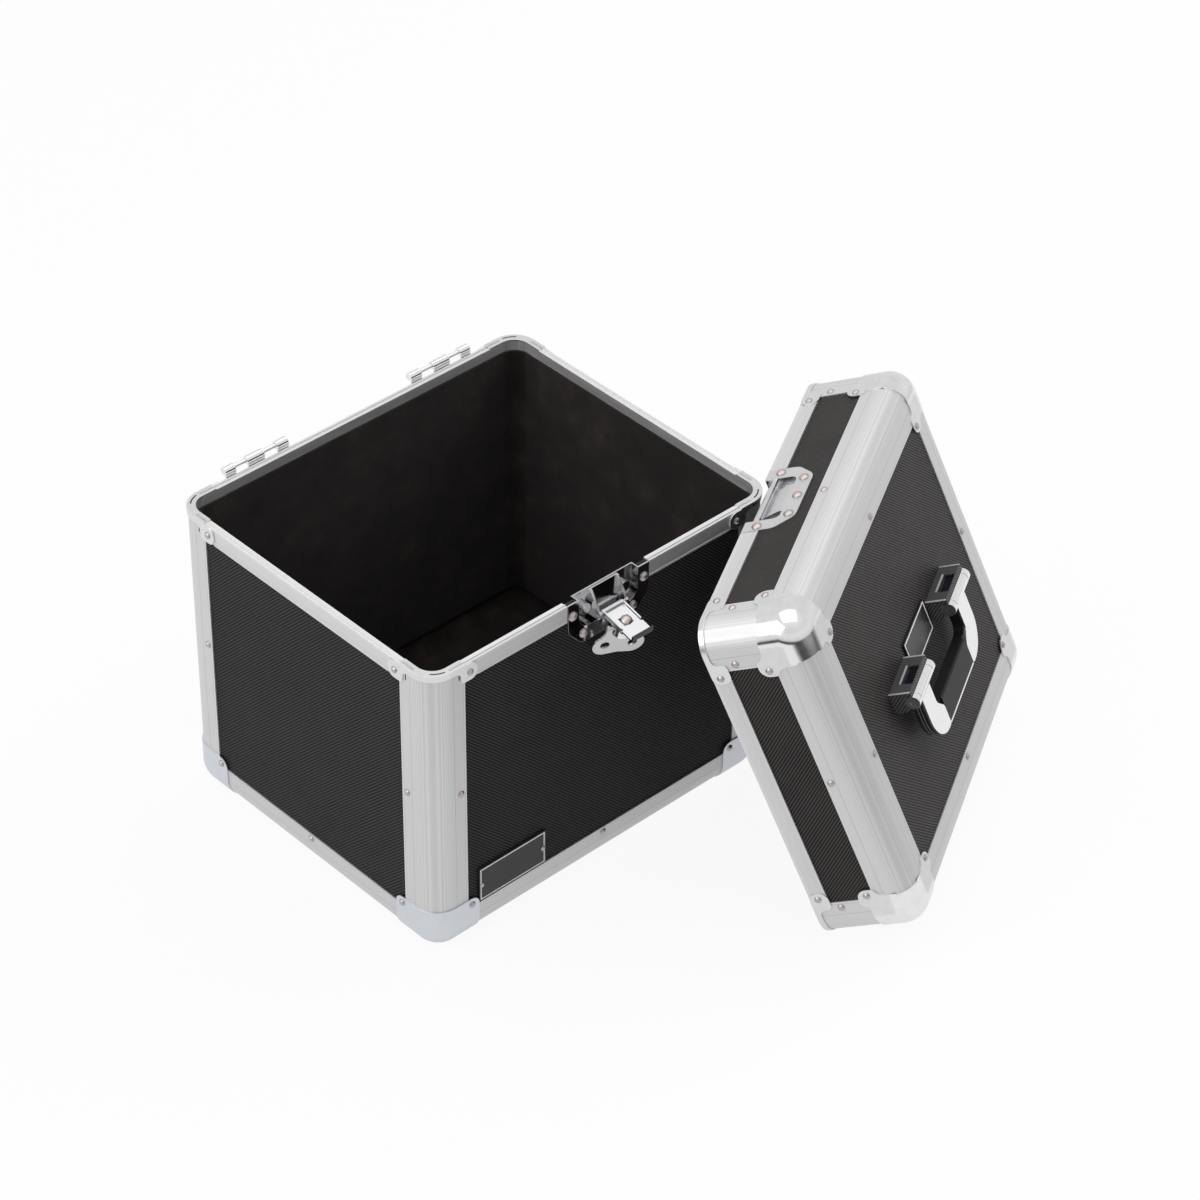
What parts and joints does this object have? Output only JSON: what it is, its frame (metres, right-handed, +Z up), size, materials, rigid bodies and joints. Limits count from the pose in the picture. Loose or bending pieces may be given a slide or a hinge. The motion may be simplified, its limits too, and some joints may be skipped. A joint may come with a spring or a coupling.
{
  "type": "record carrying case",
  "caption": "Deep metal-edged carrying case with a lift-off lid leaning against it, a draw latch with a folding wing, lift-off hinges and a swing handle on the lid.",
  "frame": {"origin": "middle of the case's underside, on the floor that its feet and the leaning lid stand on", "axes": "+Z up; -Y is the case's front, with the latch; +Y its rear, with the hinges; +X the side that the lid leans on"},
  "size_m": [0.6339, 0.6124, 0.3415],
  "materials": {
    "edges": "satin, finely ribbed lengthwise",
    "panels": "plywood under a matte black laminate with fine slanting ribs",
    "lining": "dark napped lining",
    "clamps": "polished",
    "feet": "satin, slightly bluish",
    "balls": "polished",
    "rivets": "domed, bright",
    "badges": "blank dark plate with a light frame line",
    "latch": "polished",
    "hinges": "polished",
    "brackets": "black, satin",
    "bail": "polished",
    "grip": "black, satin"
  },
  "bodies": {
    "case": {"case_bottom_panel": "panels", "case_front_panel": "panels", "case_rear_panel": "panels", "case_left_panel": "panels", "case_right_panel": "panels", "case_wall_lining": "lining", "case_floor_lining": "lining", "case_post_front_left": "edges", "case_post_front_right": "edges", "case_post_rear_left": "edges", "case_post_rear_right": "edges", "case_bottom_edges_long": "edges", "case_bottom_edges_short": "edges", "case_rim_front": "edges", "case_rim_rear": "edges", "case_rim_left": "edges", "case_rim_right": "edges", "case_rim_clamps": "clamps", "case_foot_front_left": "feet", "case_foot_front_right": "feet", "case_foot_rear_left": "feet", "case_foot_rear_right": "feet", "case_rivets": "rivets", "case_badge_plate": "badges", "case_hinge_left": "hinges", "case_hinge_right": "hinges", "case_hinge_rods": "hinges", "latch_dish": "latch", "latch_base": "latch", "latch_hinge_pin": "latch"},
    "flap": {"latch_carrier": "latch"},
    "hook": {"latch_hook": "latch"},
    "drum": {"latch_cam": "latch"},
    "wing": {"latch_wing": "latch"},
    "lid": {"lid_top_panel": "panels", "lid_front_panel": "panels", "lid_rear_panel": "panels", "lid_side_panels": "panels", "lid_lining": "lining", "lid_posts": "edges", "lid_top_edges_long": "edges", "lid_top_edges_short": "edges", "lid_rims_long": "edges", "lid_rims_short": "edges", "lid_rim_clamps": "clamps", "lid_ball_front_left": "balls", "lid_ball_front_right": "balls", "lid_ball_rear_left": "balls", "lid_ball_rear_right": "balls", "lid_rivets": "rivets", "lid_badge_plate": "badges", "lid_hinge_hooks": "hinges", "latch_keeper": "latch", "handle_bracket_left": "brackets", "handle_bracket_right": "brackets", "handle_barrel_caps": "bail", "handle_pins": "bail"},
    "handle": {"handle_bail": "bail", "handle_grip": "grip", "handle_trim": "bail"}
  },
  "joints": [
    {"name": "lid_away", "type": "slide", "parent": "case", "child": "lid", "axis": [0.5012, -0.8653, 0], "range_m": [0, 0.3]},
    {"name": "handle_lift", "type": "hinge", "parent": "lid", "child": "handle", "pos_m": [0.25301, -0.3151, 0.20226], "axis": [-0.8653, -0.5012, 0], "range_deg": [0, 90]},
    {"name": "flap_close", "type": "hinge", "parent": "case", "child": "flap", "pos_m": [0.0028, -0.16925, 0.2829], "axis": [1, 0, 0], "range_deg": [-104.7, 0]},
    {"name": "hook_draw", "type": "slide", "parent": "flap", "child": "hook", "axis": [0, -0.9673, -0.2538], "range_m": [-0.00115, 0]},
    {"name": "drum_turn", "type": "hinge", "parent": "flap", "child": "drum", "pos_m": [0.0013, -0.18618, 0.27846], "axis": [0, -0.2538, 0.9673], "range_deg": [0, 45]},
    {"name": "wing_fold", "type": "hinge", "parent": "drum", "child": "wing", "pos_m": [0.0013, -0.18415, 0.27072], "axis": [-0.9135, 0.3934, 0.1032], "range_deg": [0, 90]}
  ],
  "couplings": [
    {"joint": "hook_draw", "follows": "drum_turn", "m_per_rad": -0.0014617}
  ]
}
